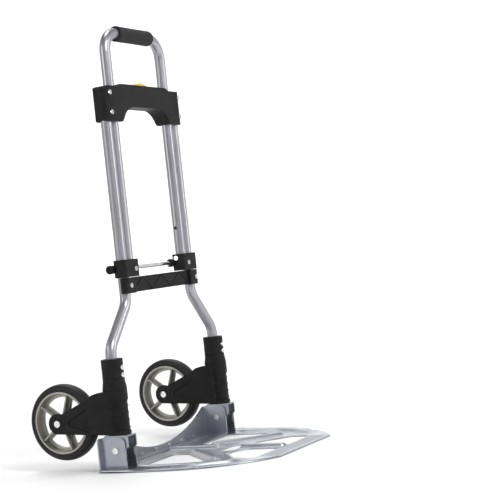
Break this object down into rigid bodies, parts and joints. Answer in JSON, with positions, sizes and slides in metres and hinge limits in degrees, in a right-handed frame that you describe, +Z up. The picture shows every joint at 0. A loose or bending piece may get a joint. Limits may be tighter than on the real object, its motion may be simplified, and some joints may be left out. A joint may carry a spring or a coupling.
{
  "type": "folding luggage cart",
  "caption": "Folding two-wheel luggage cart with a telescoping U handle, a fold-up pressed toe plate and wheels that swing in under the frame.",
  "frame": {"origin": "on the underside of the toe plate, midway between the two columns, under the column axes", "axes": "+Z up along the frame tubes, -Y towards the tip of the toe plate, +Y towards the wheels, +X to the right-hand column seen from the toe plate's side"},
  "size_m": [0.406, 0.418, 0.735],
  "materials": {
    "tube": "satin silver paint",
    "plate": "satin silver, pressed sheet",
    "black_plastic": "fine moulded texture",
    "bush": "natural nylon",
    "fastener": "zinc plated",
    "bright_rod": "polished",
    "foam": "dense foam",
    "button": "amber moulded",
    "rim": "warm grey moulded",
    "tyre": "moulded rubber"
  },
  "bodies": {
    "frame": {"frame_tube_right": "tube", "frame_tube_left": "tube", "housing_front": "black_plastic", "housing_rear": "black_plastic", "housing_screws": "fastener", "handle_bushes": "bush", "crossbar": "black_plastic", "crossbar_screws": "fastener", "sleeve_right": "black_plastic", "sleeve_left": "black_plastic", "sleeve_screws": "fastener", "foot_right": "plate", "foot_left": "plate", "button_spring": "fastener"},
    "handle": {"handle_tube": "tube", "grip": "foam", "collar_right": "black_plastic", "collar_left": "black_plastic", "tie_rod": "bright_rod", "rod_knobs": "black_plastic", "rod_stops": "black_plastic", "collar_screws": "fastener"},
    "button": {"release_button": "button"},
    "lock_right": {"lock_pin_right": "bush"},
    "lock_left": {"lock_pin_left": "bush"},
    "plate": {"toe_plate": "plate", "bracket_beam": "plate", "plate_rivets": "fastener", "pivot_bolts": "fastener", "pivot_nuts": "fastener"},
    "swing_right": {"fork_right": "black_plastic", "swivel_bush_right": "bush", "axle_right": "fastener", "axle_nut_right": "fastener", "axle_spacers_right": "fastener"},
    "swing_left": {"fork_left": "black_plastic", "swivel_bush_left": "bush", "axle_left": "fastener", "axle_nut_left": "fastener", "axle_spacers_left": "fastener"},
    "wheel_right": {"rim_right": "rim", "tyre_right": "tyre", "wheel_bush_right": "bush"},
    "wheel_left": {"rim_left": "rim", "tyre_left": "tyre", "wheel_bush_left": "bush"}
  },
  "joints": [
    {"name": "handle_slide", "type": "slide", "parent": "frame", "child": "handle", "axis": [0, 0, 1], "range_m": [0, 0.222]},
    {"name": "button_press", "type": "slide", "parent": "frame", "child": "button", "axis": [0, 0, -1], "range_m": [0, 0.005], "stiffness_N_per_m": 400, "springref_m": -0.004, "deforming": ["button_spring"]},
    {"name": "lock_right_slide", "type": "slide", "parent": "frame", "child": "lock_right", "axis": [-1, 0, 0], "range_m": [0, 0.004]},
    {"name": "lock_left_slide", "type": "slide", "parent": "frame", "child": "lock_left", "axis": [1, 0, 0], "range_m": [0, 0.004]},
    {"name": "plate_fold", "type": "hinge", "parent": "frame", "child": "plate", "pos_m": [0, 0, 0.0333], "axis": [-1, 0, 0], "range_deg": [0, 90]},
    {"name": "swing_right_turn", "type": "hinge", "parent": "frame", "child": "swing_right", "pos_m": [0.17, 0, 0.1], "axis": [0, 0, 1], "range_deg": [0, 90]},
    {"name": "swing_left_turn", "type": "hinge", "parent": "frame", "child": "swing_left", "pos_m": [-0.17, 0, 0.1], "axis": [0, 0, -1], "range_deg": [0, 90]},
    {"name": "wheel_right_spin", "type": "hinge", "parent": "swing_right", "child": "wheel_right", "pos_m": [0.17, 0.1043, 0.0818], "axis": [1, 0, 0], "continuous": true},
    {"name": "wheel_left_spin", "type": "hinge", "parent": "swing_left", "child": "wheel_left", "pos_m": [-0.17, 0.1043, 0.0818], "axis": [1, 0, 0], "continuous": true}
  ],
  "couplings": [
    {"joint": "lock_right_slide", "follows": "button_press", "ratio": 0.8},
    {"joint": "lock_left_slide", "follows": "button_press", "ratio": 0.8},
    {"joint": "swing_right_turn", "follows": "plate_fold", "ratio": 1},
    {"joint": "swing_left_turn", "follows": "plate_fold", "ratio": 1}
  ]
}
